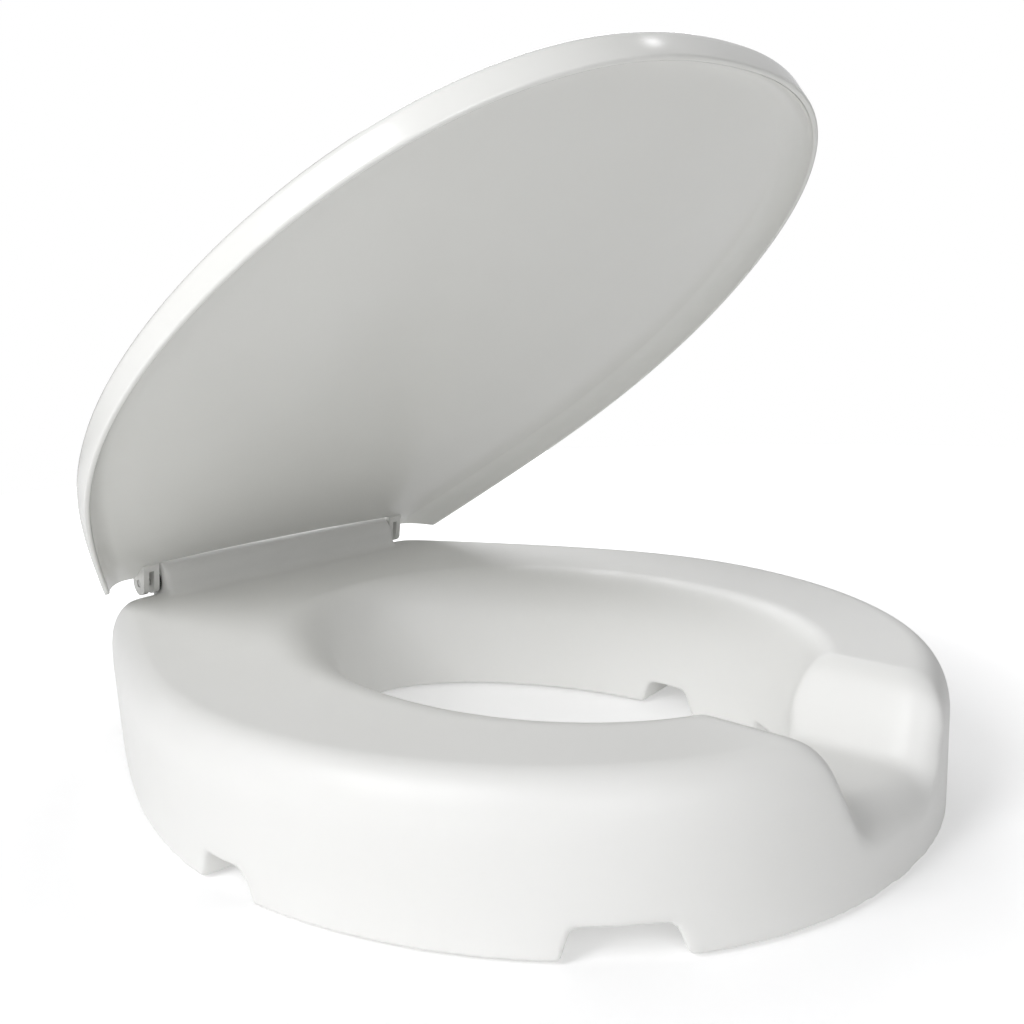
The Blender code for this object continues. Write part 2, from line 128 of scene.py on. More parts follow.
# Lid, as it lies when closed
LID_FRONT_Y = -0.2157
LID_EGG = (0.0353, 0.1795, 0.2757, 2.319)
LID_TAPER = (23.59, 0.1756)
LID_DEPTH = 0.0145
LID_WALL = 0.0028
LID_EDGE_RADIUS = 0.0045
LID_INNER_RADIUS = 0.0110
LID_LIP_RADIUS = 0.0013
LID_CROWN = 0.003
LID_CUT_RIM_Y = 0.1925
LID_CUT_TOP_Y = 0.2100
LID_CUT_SPAN = (0.006, 0.030)                # the rear cutter below and above the rim
LID_CUT_FAR_Y = 0.400
LID_CUT_HALF = 0.200
NOTCH_Y = 0.1915
NOTCH_FAR_Y = 0.300
NOTCH_SPAN = (0.010, 0.040)                  # the notch cutter below and above the rim
EAR_INNER = 0.0848
EAR_WIDTH = 0.0096
EAR_RADIUS = 0.0070
EAR_BOSS = (-110.0, 90.0)                    # angles of the round boss about the hinge axis
EAR_REACH = 0.013
EAR_SINK = 0.0005                            # the ear's front foot, below the lid's inner face
EAR_SLOT = (0.0880, 0.0911)
EAR_SLOT_TOP = 0.0036                        # above the hinge axis
EAR_SLOT_FRONT = (0.016, 0.010)              # before the hinge axis, at the slot's foot and top
EAR_SLOT_REAR = 0.015
EAR_SLOT_BELOW = 0.010
EAR_BORE_RUNOUT = 0.004
RIM_Z = BODY_TOP + FIT_GAP

# Pads
PAD_SIZE = (0.014, 0.052)
PAD_CORNER_SHARE = 0.6                       # corner radius over half the width
PAD_EDGE = 0.0005
PAD_RECESS = 0.001
PAD_CUTTER_BELOW = 0.003
PAD_NODES = ("non_slip_pad_front_left", "non_slip_pad_front_right",
             "non_slip_pad_rear_left", "non_slip_pad_rear_right")
PAD_TURNS = {"front": 24.0, "rear": -21.0}   # for a pad on the left side

# How finely the surfaces are made
BODY_STEPS = 288
ROUNDING_STEPS = 16
ROLL_STEPS = 18
LID_STEPS = 360
CROWN_RINGS = 16
BAR_SIDES = 48
BODY_VOXEL = 0.0013
SOFTENING = 14

SIDES = ((-1.0, "left"), (1.0, "right"))


# ---------------------------------------------------------------- mesh tools

def new_object(name, bm):
    """Object made from a bmesh in the row frame."""
    bmesh.ops.recalc_face_normals(bm, faces=bm.faces)
    mesh = bpy.data.meshes.new(name)
    bm.to_mesh(mesh)
    bm.free()
    obj = bpy.data.objects.new(name, mesh)
    bpy.context.scene.collection.objects.link(obj)
    return obj


def boolean(target, other, operation="DIFFERENCE"):
    """Exact Boolean with a tool object, which is removed once the target is finished."""
    mod = target.modifiers.new(other.name, "BOOLEAN")
    mod.operation = operation
    mod.solver = "EXACT"
    mod.object = other


def finished(obj):
    """Apply every modifier of an object, and remove the tools that its Booleans used."""
    tools = [mod.object for mod in obj.modifiers if mod.type == "BOOLEAN"]
    evaluated = obj.evaluated_get(bpy.context.evaluated_depsgraph_get())
    mesh = bpy.data.meshes.new_from_object(evaluated)
    obj.modifiers.clear()
    obj.data = mesh
    for tool in tools:
        bpy.data.objects.remove(tool, do_unlink=True)
    return obj


def bridge(bm, lower, upper):
    """Quads between two loops with the same number of points."""
    count = len(lower)
    for i in range(count):
        j = (i + 1) % count
        bm.faces.new((lower[i], lower[j], upper[j], upper[i]))


def loft(loops, closed):
    """Skin through loops of points: closed joins the last to the first, else both ends are capped."""
    bm = bmesh.new()
    rings = [[bm.verts.new(p) for p in loop] for loop in loops]
    for lower, upper in zip(rings, rings[1:]):
        bridge(bm, lower, upper)
    if closed:
        bridge(bm, rings[-1], rings[0])
    else:
        bm.faces.new(rings[0])
        bm.faces.new(rings[-1])
    return bm


def prism(outline, low, high):
    """Solid between two X planes on an outline of (y, z) points."""
    return loft([[(x, y, z) for y, z in outline] for x in (low, high)], closed=False)


def round_bar(name, radius, low, high):
    """Round bar on the hinge axis, between two X planes."""
    bm = bmesh.new()
    place = Matrix.Translation(((low + high) / 2.0, HINGE.y, HINGE.z))
    bmesh.ops.create_cone(bm, cap_ends=True, segments=BAR_SIDES, radius1=radius, radius2=radius,
                          depth=abs(high - low), matrix=place @ Matrix.Rotation(math.pi / 2.0, 4, "Y"))
    return new_object(name, bm)


# ---------------------------------------------------------------- outlines

def egg_gauge(theta, half_width, front, rear, power):
    """One over the polar radius of an egg outline, with one power all round."""
    across = abs(math.cos(theta)) / half_width
    along = math.sin(theta)
    reach = front if along <= 0.0 else rear
    return (across ** power + (abs(along) / reach) ** power) ** (1.0 / power)


def blend(first, second, power):
    """Gauge of the shape inside both of two outlines, its corners rounded off."""
    return (first ** power + max(second, 0.0) ** power) ** (1.0 / power)


def tapered_gauge(theta, shape, taper, front_y):
    """Egg with tapering sides: shape is its middle, half width, rear reach and power."""
    middle, half_width, rear, power = shape
    angle, distance = math.radians(taper[0]), taper[1]
    side = abs(math.cos(theta)) * math.cos(angle) + math.sin(theta) * math.sin(angle)
    return blend(egg_gauge(theta, half_width, middle - front_y, rear, power), side / distance,
                 TAPER_POWER)


def around(steps, centre_y, gauge):
    """Points (x, y) of a polar outline about a point on the Y axis, starting at the rear."""
    angles = [math.pi / 2.0 + math.tau * i / steps for i in range(steps)]
    return [(math.cos(a) / gauge(a), centre_y + math.sin(a) / gauge(a)) for a in angles]


def body_gauge(theta):
    """Seat outline, cut off by the straight rear edge with rounded corners."""
    straight = math.sin(theta) / (HALF_LENGTH - BODY_EGG[0])
    return blend(tapered_gauge(theta, BODY_EGG, BODY_TAPER, -HALF_LENGTH), straight, CORNER_POWER)


def hole_gauge(theta):
    """Opening at its narrowest, below the rolled edge."""
    power = HOLE_POWERS[0] if math.sin(theta) <= 0.0 else HOLE_POWERS[1]
    return egg_gauge(theta, HOLE_HALF, HOLE_FRONT, HOLE_REAR, power)


def roll_gauge(theta):
    """Where the rolled inner edge starts, on the seat's top."""
    return egg_gauge(theta, ROLL_HALF, ROLL_REACH, ROLL_REACH, ROLL_POWER)


def lid_gauge(theta):
    """Lid's outline before its rear is cut."""
    return tapered_gauge(theta, LID_EGG, LID_TAPER, LID_FRONT_Y)


def inset(outline, distance):
    """Outline moved inward along its own normals."""
    moved = []
    count = len(outline)
    for i, (x, y) in enumerate(outline):
        before = Vector(outline[i - 1])
        after = Vector(outline[(i + 1) % count])
        along = (after - before).normalized()
        moved.append((x - along.y * distance, y + along.x * distance))
    return moved


def arc(centre, radius, start, end, steps):
    """Points (u, v) on an arc, with its angles in degrees."""
    angles = [math.radians(start + (end - start) * i / steps) for i in range(steps + 1)]
    return [(centre[0] + radius * math.cos(a), centre[1] + radius * math.sin(a)) for a in angles]


def fillet(points, radii, steps):
    """Open path whose inner corners are replaced by arcs of the given radii."""
    path = [points[0]]
    for before, corner, after, radius in zip(points, points[1:], points[2:], radii):
        here = Vector(corner)
        back = (Vector(before) - here).normalized()
        ahead = (Vector(after) - here).normalized()
        half = back.angle(ahead) / 2.0
        middle = here + (back + ahead).normalized() * radius / math.sin(half)
        start = here + back * radius / math.tan(half) - middle
        end = here + ahead * radius / math.tan(half) - middle
        turn = start.angle_signed(end)
        for i in range(steps + 1):
            path.append(tuple(middle + Matrix.Rotation(-turn * i / steps, 2) @ start))
    path.append(points[-1])
    return path


# ---------------------------------------------------------------- seat body

def body_loops():
    """Loops of the seat ring, up its outer wall, over the top and down into the opening."""
    base = around(BODY_STEPS, BODY_EGG[0], body_gauge)
    hole = around(BODY_STEPS, HOLE_WIDEST_Y, hole_gauge)
    roll = around(BODY_STEPS, ROLL_WIDEST_Y, roll_gauge)
    across, down = OUTER_ROUNDING
    loops = [[(x, y, PAD_PROUD) for x, y in inset(base, OUTER_DRAFT)]]
    for du, dv in arc((0.0, 0.0), 1.0, 0.0, 90.0, ROUNDING_STEPS):
        ring = inset(base, across * (1.0 - du))
        loops.append([(x, y, BODY_TOP - down * (1.0 - dv)) for x, y in ring])
    for i in range(ROLL_STEPS + 1):
        angle = math.radians(90.0 * i / ROLL_STEPS)
        height = BODY_TOP - ROLL_DEPTH * (1.0 - math.cos(angle))
        out = 1.0 - math.sin(angle)
        loops.append([(h[0] + (r[0] - h[0]) * out, h[1] + (r[1] - h[1]) * out, height)
                      for h, r in zip(hole, roll)])
    loops.append([(x, y, PAD_PROUD) for x, y in hole])
    return loops


def block_outline():
    """Side view of the hinge block: foot in front, nose concentric with the hinge, flat top, rear."""
    nose = arc((HINGE.y, HINGE.z), BLOCK_NOSE_RADIUS + NOSE_LIP, *NOSE_FRONT, 20)
    nose += arc((HINGE.y, HINGE.z), BLOCK_NOSE_RADIUS, *NOSE_TOP, 16)
    top = nose[-1][1]
    rear = HALF_LENGTH - BLOCK_REAR_GAP
    slope = [(y, BODY_TOP + z) for y, z in BLOCK_FRONT]
    front = fillet(slope + [nose[0]], BLOCK_FRONT_RADII, 6)
    back = fillet([nose[-1], (rear, top), (rear, slope[0][1])], [BLOCK_REAR_RADIUS], 6)
    return front + nose[1:-1] + back


def scoop_outline():
    """Closed section of the recess cutter: floor, sloping sides, and wings just above the top."""
    over = BODY_TOP + SCOOP_ABOVE
    wing = SCOOP_TOP_HALF + SCOOP_WING
    half = fillet([(0.0, SCOOP_FLOOR_Z), (SCOOP_FLOOR_HALF, SCOOP_FLOOR_Z), (SCOOP_TOP_HALF, over),
                   (wing, over)], [SCOOP_FLOOR_RADIUS, SCOOP_TOP_RADIUS], 12)
    half.append((wing, over + SCOOP_HEAD))
    return half + [(-x, z) for x, z in reversed(half[1:])]


def egg_front(x, middle_y, half_width, reach, power):
    """Y of the front half of an egg outline at a distance x from its middle."""
    return middle_y - reach * (1.0 - (abs(x) / half_width) ** power) ** (1.0 / power)


def scoop_stations():
    """(is_outer, depth, flare) of each section, first through the opening's wall, then the outer one."""
    stations = []
    for is_outer, radius in ((False, SCOOP_HOLE_RADIUS), (True, SCOOP_END_RADIUS)):
        steps = [(-SCOOP_RUNOUT, radius)] + arc((radius, radius), radius, 180.0, 270.0, 10)
        if is_outer:
            steps.reverse()
        stations += [(is_outer, depth, flare) for depth, flare in steps]
    return stations


def scoop_cutter():
    """Recess cutter, which flares where it runs out of the opening and of the front wall."""
    outline = scoop_outline()
    middle, half_width, _, power = BODY_EGG
    front = HALF_LENGTH + middle
    loops = []
    for is_outer, depth, flare in scoop_stations():
        loop = []
        for (x, z), (x0, _) in zip(inset(outline, -flare), outline):
            if is_outer:
                x = x0 + (x - x0) * SCOOP_END_SHARE
                y = egg_front(x0, middle, half_width, front, power) + depth
            else:
                y = egg_front(x0, HOLE_WIDEST_Y, HOLE_HALF, HOLE_FRONT, HOLE_POWERS[0]) - depth
            loop.append((x, y, z))
        loops.append(loop)
    return new_object("scoop_cutter", loft(loops, closed=False))


def channel_cutter(name, inner, outer, width):
    """Tapered bar along a bracket channel, from (x, y) inside the wall to (x, y) outside it."""
    start = Vector((*inner, 0.0))
    along = Vector((*outer, 0.0)) - start
    low = PAD_PROUD - CHANNEL_BELOW
    high = PAD_PROUD + CHANNEL_HEIGHT
    slope = CHANNEL_DRAFT / CHANNEL_HEIGHT
    foot = width / 2.0 + slope * CHANNEL_BELOW
    head = width / 2.0 - CHANNEL_DRAFT
    half = fillet([(foot, low), (head, high), (0.0, high)], [CHANNEL_CORNER], 6)[:-1]
    section = half + [(-u, z) for u, z in reversed(half)]
    side = Vector((-along.y, along.x, 0.0)).normalized()
    loops = []
    for end in (start - along.normalized() * CHANNEL_RUNOUT, start + along):
        loops.append([end + side * u + Vector((0.0, 0.0, z)) for u, z in section])
    return new_object(name, loft(loops, closed=False))


def channel_cutters():
    """The two side channels, splayed a little to the rear, and the two front ones."""
    (outer_x, outer_y), (inner_x, inner_y) = SIDE_CHANNEL_OUTER, SIDE_CHANNEL_INNER
    slope = (outer_y - inner_y) / (outer_x - inner_x)
    angle = math.radians(FRONT_CHANNEL_ANGLE)
    front_x, front_y = FRONT_CHANNEL_OUTER
    along_x, along_y = math.cos(angle), -math.sin(angle)
    inward, outward = FRONT_CHANNEL_REACH
    cutters = []
    for side, tag in SIDES:
        outside = (side * (outer_x + CHANNEL_RUNOUT), outer_y + slope * CHANNEL_RUNOUT)
        cutters.append(channel_cutter("side_channel_cutter_" + tag, (side * inner_x, inner_y),
                                      outside, SIDE_CHANNEL_WIDTH))
        inside = (side * (front_x - inward * along_x), front_y - inward * along_y)
        outside = (side * (front_x + outward * along_x), front_y + outward * along_y)
        cutters.append(channel_cutter("front_channel_cutter_" + tag, inside, outside,
                                      FRONT_CHANNEL_WIDTH))
    return cutters


def pad_outline(tag, size):
    """Middle and turn of one pad as a matrix, and its outline with rounded corners."""
    low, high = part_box("non_slip_pad_" + tag)
    row, side = tag.split("_")
    turn = math.radians(PAD_TURNS[row]) * (1.0 if side == "left" else -1.0)
    place = Matrix.Translation(((low.x + high.x) / 2.0, (low.y + high.y) / 2.0, 0.0))
    half_w, half_l = size[0] / 2.0, size[1] / 2.0
    corner = half_w * PAD_CORNER_SHARE
    outline = []
    for cx, cy, start in ((1, 1, 0), (-1, 1, 90), (-1, -1, 180), (1, -1, 270)):
        centre = (cx * (half_w - corner), cy * (half_l - corner))
        outline += arc(centre, corner, start, start + 90.0, 10)
    return place @ Matrix.Rotation(turn, 4, "Z"), outline


def pad_tags():
    """Row and side of each pad, as in front_left."""
    return [node.removeprefix("non_slip_pad_") for node in PAD_NODES]


def soften(obj, voxel, rounds):
    """Remesh evenly and relax, so that every cut edge gets a small moulded radius."""
    remesh = obj.modifiers.new("even", "REMESH")
    remesh.mode = "VOXEL"
    remesh.voxel_size = voxel
    relax = obj.modifiers.new("relax", "SMOOTH")
    relax.factor = 0.5
    relax.iterations = rounds
    return finished(obj)


def seat_body():
    """Moulded seat: ring and hinge block, less the recess, channels, bores and pad recesses."""
    body = new_object("seat_body_moulding", loft(body_loops(), closed=True))
    boolean(body, new_object("hinge_block", prism(block_outline(), -BLOCK_HALF, BLOCK_HALF)), "UNION")
    boolean(body, scoop_cutter())
    for cutter in channel_cutters():
        boolean(body, cutter)
    finished(body)
    soften(body, BODY_VOXEL, SOFTENING)
    for side, tag in SIDES:
        low, high = side * (BLOCK_HALF - BORE_DEPTH), side * (BLOCK_HALF + BORE_RUNOUT)
        boolean(body, round_bar("bore_cutter_" + tag, BUSH_RADIUS + FIT_GAP, low, high))
    recess = (PAD_SIZE[0] + 2.0 * FIT_GAP, PAD_SIZE[1] + 2.0 * FIT_GAP)
    for tag in pad_tags():
        place, outline = pad_outline(tag, recess)
        loops = [[place @ Vector((u, v, z)) for u, v in outline]
                 for z in (PAD_PROUD - PAD_CUTTER_BELOW, PAD_PROUD + PAD_RECESS)]
        boolean(body, new_object("pad_cutter_" + tag, loft(loops, closed=False)))
    return finished(body)


# ---------------------------------------------------------------- lid

def lid_skin(bm, outline, first_inset, top, radius):
    """One skin of the lid, from its lip up the wall, round the edge and over the crown."""
    middle = LID_EGG[0]
    rings = []
    for du, dv in arc((0.0, 0.0), radius, 0.0, 90.0, 10):
        loop = inset(outline, first_inset + radius - du)
        rings.append([bm.verts.new((x, y, top - radius + dv)) for x, y in loop])
    flat = inset(outline, first_inset + radius)
    for i in range(CROWN_RINGS - 1, 0, -1):
        scale = i / CROWN_RINGS
        height = top + LID_CROWN * (1.0 - scale * scale)
        rings.append([bm.verts.new((x * scale, middle + (y - middle) * scale, height))
                      for x, y in flat])
    for lower, upper in zip(rings, rings[1:]):
        bridge(bm, lower, upper)
    apex = bm.verts.new((0.0, middle, top + LID_CROWN))
    for i, vert in enumerate(rings[-1]):
        bm.faces.new((vert, rings[-1][(i + 1) % len(outline)], apex))
    return rings[0]


def lid_shell():
    """The closed dish before its rear is cut: outer skin, inner skin and the rounded lip."""
    bm = bmesh.new()
    outline = around(LID_STEPS, LID_EGG[0], lid_gauge)
    top = RIM_Z + LID_DEPTH
    outer = lid_skin(bm, outline, 0.0, top, LID_EDGE_RADIUS)
    inner = lid_skin(bm, outline, LID_WALL, top - LID_WALL, LID_INNER_RADIUS)
    lip = LID_LIP_RADIUS
    profile = arc((lip, lip), lip, 180.0, 270.0, 5)
    profile += arc((LID_WALL - lip, lip), lip, 270.0, 360.0, 5)
    rings = [outer]
    for depth, height in profile:
        rings.append([bm.verts.new((x, y, RIM_Z + height)) for x, y in inset(outline, depth)])
    rings.append(inner)
    for lower, upper in zip(rings, rings[1:]):
        bridge(bm, lower, upper)
    return bm


def rear_cutter():
    """Slanted cut across the rear of the lid."""
    run = (LID_CUT_TOP_Y - LID_CUT_RIM_Y) / LID_DEPTH
    below, above = LID_CUT_SPAN
    outline = [(LID_CUT_RIM_Y - below * run, RIM_Z - below),
               (LID_CUT_RIM_Y + above * run, RIM_Z + above),
               (LID_CUT_FAR_Y, RIM_Z + above), (LID_CUT_FAR_Y, RIM_Z - below)]
    return new_object("rear_cutter", prism(outline, -LID_CUT_HALF, LID_CUT_HALF))


def notch_cutter():
    """Notch between the ears, which clears the hinge block."""
    low, high = RIM_Z - NOTCH_SPAN[0], RIM_Z + NOTCH_SPAN[1]
    outline = [(NOTCH_Y, low), (NOTCH_FAR_Y, low), (NOTCH_FAR_Y, high), (NOTCH_Y, high)]
    return new_object("notch_cutter", prism(outline, -EAR_INNER, EAR_INNER))


def ear(side, tag):
    """Hinge ear: a rib under the lid that ends in a round boss on the hinge axis."""
    top = HINGE.z + EAR_RADIUS
    inner_face = RIM_Z + LID_DEPTH - LID_WALL
    front = HINGE.y - EAR_REACH
    outline = arc((HINGE.y, HINGE.z), EAR_RADIUS, *EAR_BOSS, 28)
    outline += [(front, top), (front, inner_face - EAR_SINK)]
    low, high = sorted((side * EAR_INNER, side * (EAR_INNER + EAR_WIDTH)))
    return new_object("ear_" + tag, prism(outline, low, high))


def ear_slot_cutter(side, tag):
    """Cored slot in an ear, open below and behind, with the web left whole above it."""
    bottom, top = RIM_Z - EAR_SLOT_BELOW, HINGE.z + EAR_SLOT_TOP
    rear = HINGE.y + EAR_SLOT_REAR
    front_bottom, front_top = (HINGE.y - reach for reach in EAR_SLOT_FRONT)
    outline = [(front_bottom, bottom), (rear, bottom), (rear, top), (front_top, top)]
    low, high = sorted((side * EAR_SLOT[0], side * EAR_SLOT[1]))
    return new_object("ear_slot_cutter_" + tag, prism(outline, low, high))


def lid():
    """Thin dished lid with its two hinge ears, made closed and then opened about the hinge."""
    shell = new_object("lid_moulding", lid_shell())
    boolean(shell, rear_cutter())
    boolean(shell, notch_cutter())
    for side, tag in SIDES:
        boolean(shell, ear(side, tag), "UNION")
        boolean(shell, ear_slot_cutter(side, tag))
        low = side * (EAR_INNER - EAR_BORE_RUNOUT)
        high = side * (EAR_INNER + EAR_WIDTH + EAR_BORE_RUNOUT)
        boolean(shell, round_bar("ear_bore_cutter_" + tag, PIN_RADIUS + FIT_GAP, low, high))
    finished(shell)
    swing = Matrix.Rotation(-math.radians(LID_OPEN), 4, "X")
    shell.data.transform(Matrix.Translation(HINGE) @ swing @ Matrix.Translation(-HINGE))
    return shell


# ---------------------------------------------------------------- pads

def pad(tag):
    """Rubber pad with a rounded lower edge."""
    place, outline = pad_outline(tag, PAD_SIZE)
    low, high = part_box("non_slip_pad_" + tag)
    profile = [(PAD_EDGE - u, PAD_EDGE - v) for u, v in arc((0.0, 0.0), PAD_EDGE, 90.0, 0.0, 4)]
    profile.append((0.0, high.z))
    loops = [[place @ Vector((u, v, low.z + z)) for u, v in inset(outline, depth)]
             for depth, z in profile]
    return new_object("pad_" + tag, loft(loops, closed=False))


# ---------------------------------------------------------------- materials

def new_material(name, colour, roughness, metallic=0.0):
    """Principled material, with its noise coordinates in metres on the object."""
    mat = bpy.data.materials.new(name)
    mat.use_nodes = True
    shader = mat.node_tree.nodes["Principled BSDF"]
    shader.inputs["Base Color"].default_value = (*colour, 1.0)
    shader.inputs["Roughness"].default_value = roughness
    shader.inputs["Metallic"].default_value = metallic
    return mat, shader


def noise(mat, scale, detail=2.0, stretch=(1.0, 1.0, 1.0)):
    """Noise texture in object space: scale is in features per metre."""
    nodes, links = mat.node_tree.nodes, mat.node_tree.links
    place = nodes.new("ShaderNodeTexCoord")
    mapping = nodes.new("ShaderNodeMapping")
    mapping.inputs["Scale"].default_value = stretch
    texture = nodes.new("ShaderNodeTexNoise")
    texture.inputs["Scale"].default_value = scale
    texture.inputs["Detail"].default_value = detail
    links.new(place.outputs["Object"], mapping.inputs["Vector"])
    links.new(mapping.outputs["Vector"], texture.inputs["Vector"])
    return texture.outputs["Fac"]


NOISE_BAND = (0.3, 0.7)     # where nearly all of a noise texture's values lie


def vary_roughness(mat, shader, source, low, high):
    """Roughness that wanders between two values."""
    spread = mat.node_tree.nodes.new("ShaderNodeMapRange")
    spread.inputs["From Min"].default_value = NOISE_BAND[0]
    spread.inputs["From Max"].default_value = NOISE_BAND[1]
    spread.inputs["To Min"].default_value = low
    spread.inputs["To Max"].default_value = high
    mat.node_tree.links.new(source, spread.inputs["Value"])
    mat.node_tree.links.new(spread.outputs["Result"], shader.inputs["Roughness"])


def vary_colour(mat, shader, source, first, second):
    """Base colour that wanders between two close tones."""
    ramp = mat.node_tree.nodes.new("ShaderNodeValToRGB")
    for element, position, tone in zip(ramp.color_ramp.elements, NOISE_BAND, (first, second)):
        element.position = position
        element.color = (*tone, 1.0)
    mat.node_tree.links.new(source, ramp.inputs["Fac"])
    mat.node_tree.links.new(ramp.outputs["Color"], shader.inputs["Base Color"])


def add_bump(mat, shader, source, strength, distance):
    """Relief of the given strength and height."""
    bump = mat.node_tree.nodes.new("ShaderNodeBump")
    bump.inputs["Strength"].default_value = strength
    bump.inputs["Distance"].default_value = distance
    mat.node_tree.links.new(source, bump.inputs["Height"])
    mat.node_tree.links.new(bump.outputs["Normal"], shader.inputs["Normal"])


def moulded_plastic(name, tones, roughness, grain, grain_depth):
    """White moulded plastic: faint tone drift, uneven sheen and a fine surface grain."""
    mat, shader = new_material(name, tones[0], roughness[0])
    vary_colour(mat, shader, noise(mat, 9.0, 3.0), *tones)
    vary_roughness(mat, shader, noise(mat, 55.0, 4.0), *roughness)
    add_bump(mat, shader, noise(mat, grain, 2.0), 0.25, grain_depth)
    return mat


def turned_steel(name):
    """Drawn steel rod, with fine rings round it."""
    mat, shader = new_material(name, (0.62, 0.62, 0.60), 0.32, 1.0)
    rings = noise(mat, 900.0, 2.0, stretch=(1.0, 0.02, 0.02))
    vary_roughness(mat, shader, rings, 0.24, 0.42)
    add_bump(mat, shader, rings, 0.3, 0.00003)
    return mat


def rubber(name, first, second, grain):
    """Dull rubber with a fine pitted grain."""
    mat, shader = new_material(name, first, 0.8)
    vary_colour(mat, shader, noise(mat, 120.0, 4.0), first, second)
    vary_roughness(mat, shader, noise(mat, 300.0, 2.0), 0.68, 0.88)
    add_bump(mat, shader, noise(mat, grain, 3.0), 0.6, 0.00012)
    return mat


def smooth_shaded(obj, degrees):
    """Smooth shading, with edges sharper than an angle kept."""
    obj.data.shade_smooth()
    obj.data.set_sharp_from_angle(angle=math.radians(degrees))


def paint(obj, mat):
    """Give an object one material in place of any that it has."""
    obj.data.materials.clear()
    obj.data.materials.append(mat)


# ---------------------------------------------------------------- stage, light and camera

CAMERA_PLACE = Vector((-0.3568, -0.38025, 0.2111))
CAMERA_AZIMUTH = -43.7635
CAMERA_ELEVATION = 8.8637
CAMERA_ROLL = -2.7432
LENS = 37.32
SHIFT = (0.0077, -0.0209)
LIGHT_DISTANCE = 1.6
LIGHT_COLOUR = (1.0, 1.0, 1.015)
LIGHT_DOME_Z = 0.05
LIGHT_AIM_Z = 0.08
WORLD_FILL = 0.10
WORLD_COLOUR = (1.0, 1.0, 0.985, 1.0)
WHITE = (1.0, 1.0, 1.0, 1.0)
FLOOR_RADIUS = 1.25
FLOOR_DROP = 0.0004                             # keeps the pads' faces clear of the floor's
FLOOR_GLOW = 0.18                               # to all but camera rays
FLOOR_GLOW_SPREAD = (0.16, 0.55, 0.30, 1.00)    # from and to, in metres and then in strength


def direction(azimuth, elevation):
    """Unit vector that points away from the seat: azimuth 0 is its front, 90 its right side."""
    turn, lift = math.radians(azimuth), math.radians(elevation)
    return Vector((math.sin(turn) * math.cos(lift), -math.cos(turn) * math.cos(lift), math.sin(lift)))


def camera():
    """Camera off the front left of the seat and above the height of its hinge, as in the photograph."""
    azimuth, roll = math.radians(CAMERA_AZIMUTH), math.radians(CAMERA_ROLL)
    back = direction(CAMERA_AZIMUTH, CAMERA_ELEVATION)
    level = Vector((math.cos(azimuth), math.sin(azimuth), 0.0))
    upright = back.cross(level)
    right = level * math.cos(roll) + upright * math.sin(roll)
    up = upright * math.cos(roll) - level * math.sin(roll)
    data = bpy.data.cameras.new("camera")
    data.lens = LENS
    data.sensor_width = 36.0
    data.shift_x, data.shift_y = SHIFT
    data.clip_start = 0.01
    obj = bpy.data.objects.new("camera", data)
    obj.matrix_world = Matrix.Translation(CAMERA_PLACE) @ Matrix((right, up, back)).transposed().to_4x4()
    bpy.context.scene.collection.objects.link(obj)
    bpy.context.scene.camera = obj


def area_light(name, azimuth, elevation, power, size=0.9, mirrored=False):
    """Soft round light on a dome about the seat; only a mirrored one shows in glossy surfaces."""
    place = direction(azimuth, elevation) * LIGHT_DISTANCE + Vector((0.0, 0.0, LIGHT_DOME_Z))
    data = bpy.data.lights.new(name, "AREA")
    data.shape = "DISK"
    data.size = size
    data.energy = power
    data.color = LIGHT_COLOUR
    obj = bpy.data.objects.new(name, data)
    obj.location = place
    aim = Vector((0.0, 0.0, LIGHT_AIM_Z)) - place
    obj.rotation_euler = aim.to_track_quat("-Z", "Y").to_euler()
    obj.visible_camera = False
    obj.visible_glossy = mirrored
    bpy.context.scene.collection.objects.link(obj)
    return obj


def white_backdrop(scene):
    """World that is plain white to the camera and a faint fill to everything else."""
    world = bpy.data.worlds.new("studio")
    scene.world = world
    world.use_nodes = True
    tree = world.node_tree
    fill = tree.nodes["Background"]
    fill.inputs["Color"].default_value = WORLD_COLOUR
    fill.inputs["Strength"].default_value = WORLD_FILL
    backdrop = tree.nodes.new("ShaderNodeBackground")
    backdrop.inputs["Color"].default_value = WHITE
    path = tree.nodes.new("ShaderNodeLightPath")
    mix = tree.nodes.new("ShaderNodeMixShader")
    tree.links.new(path.outputs["Is Camera Ray"], mix.inputs["Fac"])
    tree.links.new(fill.outputs["Background"], mix.inputs[1])
    tree.links.new(backdrop.outputs["Background"], mix.inputs[2])
    tree.links.new(mix.outputs["Shader"], tree.nodes["World Output"].inputs["Surface"])


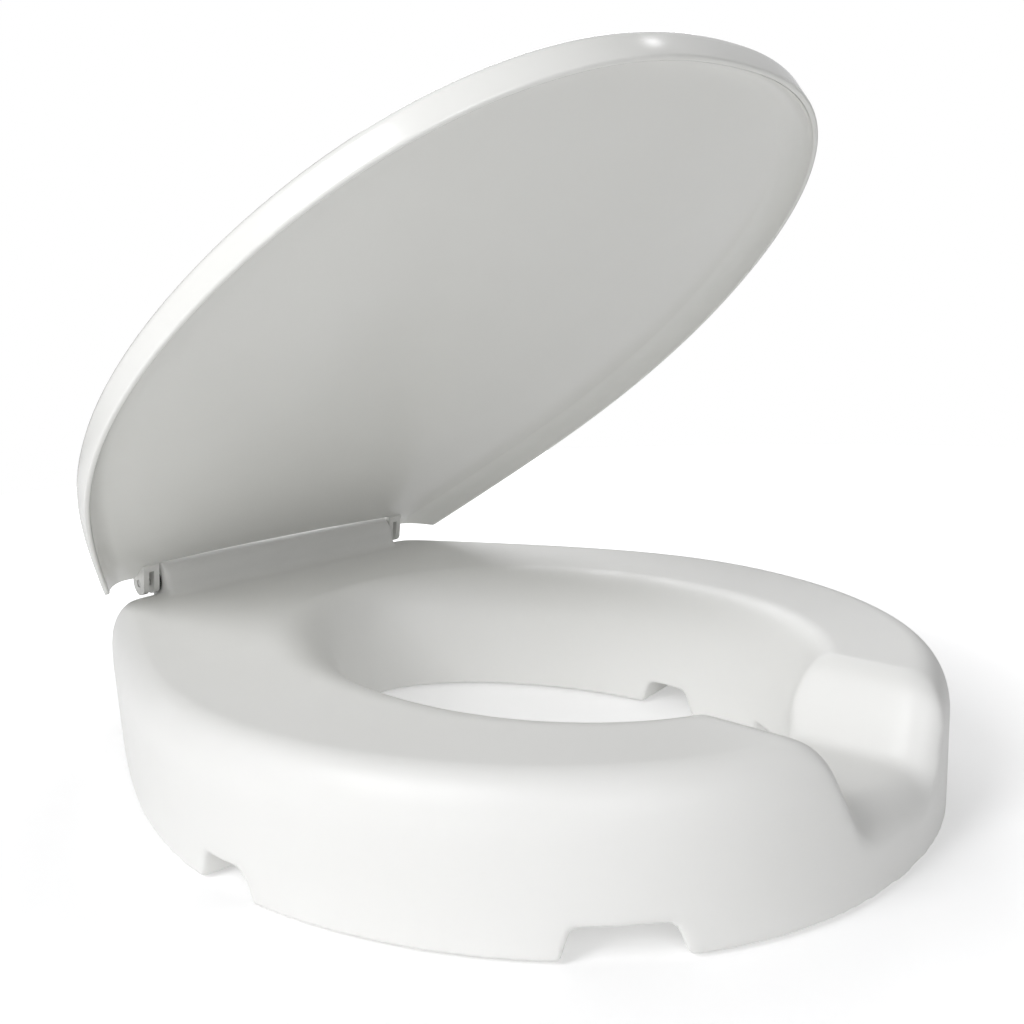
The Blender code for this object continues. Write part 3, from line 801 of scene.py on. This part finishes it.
def white_floor():
    """Pale matte floor that fades to white away from the seat, for camera rays alone."""
    floor_bm = bmesh.new()
    bmesh.ops.create_circle(floor_bm, cap_ends=True, segments=96, radius=FLOOR_RADIUS)
    floor = new_object("floor", floor_bm)
    floor.location.z = -FLOOR_DROP
    mat, shader = new_material("floor_white", (0.80, 0.80, 0.80), 0.9)
    shader.inputs["Emission Color"].default_value = WHITE
    tree = mat.node_tree
    place = tree.nodes.new("ShaderNodeTexCoord")
    reach = tree.nodes.new("ShaderNodeVectorMath")
    reach.operation = "LENGTH"
    spread = tree.nodes.new("ShaderNodeMapRange")
    spread.interpolation_type = "SMOOTHSTEP"
    for socket, value in zip(("From Min", "From Max", "To Min", "To Max"), FLOOR_GLOW_SPREAD):
        spread.inputs[socket].default_value = value
    path = tree.nodes.new("ShaderNodeLightPath")
    glow = tree.nodes.new("ShaderNodeMapRange")
    glow.inputs["To Min"].default_value = FLOOR_GLOW
    tree.links.new(place.outputs["Object"], reach.inputs[0])
    tree.links.new(reach.outputs["Value"], spread.inputs["Value"])
    tree.links.new(path.outputs["Is Camera Ray"], glow.inputs["Value"])
    tree.links.new(spread.outputs["Result"], glow.inputs["To Max"])
    tree.links.new(glow.outputs["Result"], shader.inputs["Emission Strength"])
    paint(floor, mat)


def studio():
    """White cove with two soft lights from the left, three weaker ones around and a small glint."""
    scene = bpy.context.scene
    scene.view_settings.view_transform = "Standard"
    white_backdrop(scene)
    area_light("key_left", -90.0, 38.0, 12.4, size=0.8, mirrored=True)
    area_light("key_left_low", -88.0, 20.0, 3.4, size=0.6)
    area_light("fill_rear_right", 135.0, 35.0, 6.75, mirrored=True)
    area_light("fill_right", 90.0, 35.0, 5.0, size=1.8, mirrored=True)
    area_light("fill_front", -32.0, 26.0, 5.3, mirrored=True)
    glint = area_light("rim_glint", 55.0, 58.0, 0.35, size=0.10, mirrored=True)
    glint.visible_diffuse = False
    white_floor()


# ---------------------------------------------------------------- build

def build():
    """Materials, the remade pieces, and new looks for the hinge hardware of the CAD."""
    seat_plastic = moulded_plastic("seat_plastic_satin", ((0.850, 0.850, 0.828), (0.870, 0.870, 0.851)),
                                   (0.38, 0.50), 1500.0, 0.00008)
    lid_plastic = moulded_plastic("lid_plastic_gloss", ((0.850, 0.851, 0.822), (0.870, 0.871, 0.845)),
                                  (0.12, 0.20), 700.0, 0.00003)
    pin_steel = turned_steel("pin_steel_drawn")
    bush_nylon = moulded_plastic("bush_nylon_natural", ((0.74, 0.73, 0.68), (0.78, 0.77, 0.72)),
                                 (0.42, 0.55), 2500.0, 0.00005)
    washer_rubber = rubber("washer_rubber_black", (0.03, 0.03, 0.03), (0.05, 0.05, 0.05), 2500.0)
    pad_rubber = rubber("pad_rubber_grey", (0.20, 0.20, 0.195), (0.25, 0.25, 0.245), 1800.0)

    body = seat_body()
    smooth_shaded(body, 50.0)
    paint(body, seat_plastic)
    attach(body, "seat")
    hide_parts("seat_body")

    cover = lid()
    smooth_shaded(cover, 40.0)
    paint(cover, lid_plastic)
    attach(cover, "lid")
    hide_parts("lid")

    for tag in pad_tags():
        piece = pad(tag)
        smooth_shaded(piece, 50.0)
        paint(piece, pad_rubber)
        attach(piece, "seat")
        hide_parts("non_slip_pad_" + tag)

    for _, side in SIDES:
        paint(frame["nodes"]["hinge_pin_" + side], pin_steel)
        paint(frame["nodes"]["hinge_bush_" + side], bush_nylon)
        paint(frame["nodes"]["friction_washer_" + side], washer_rubber)


build()
studio()
camera()
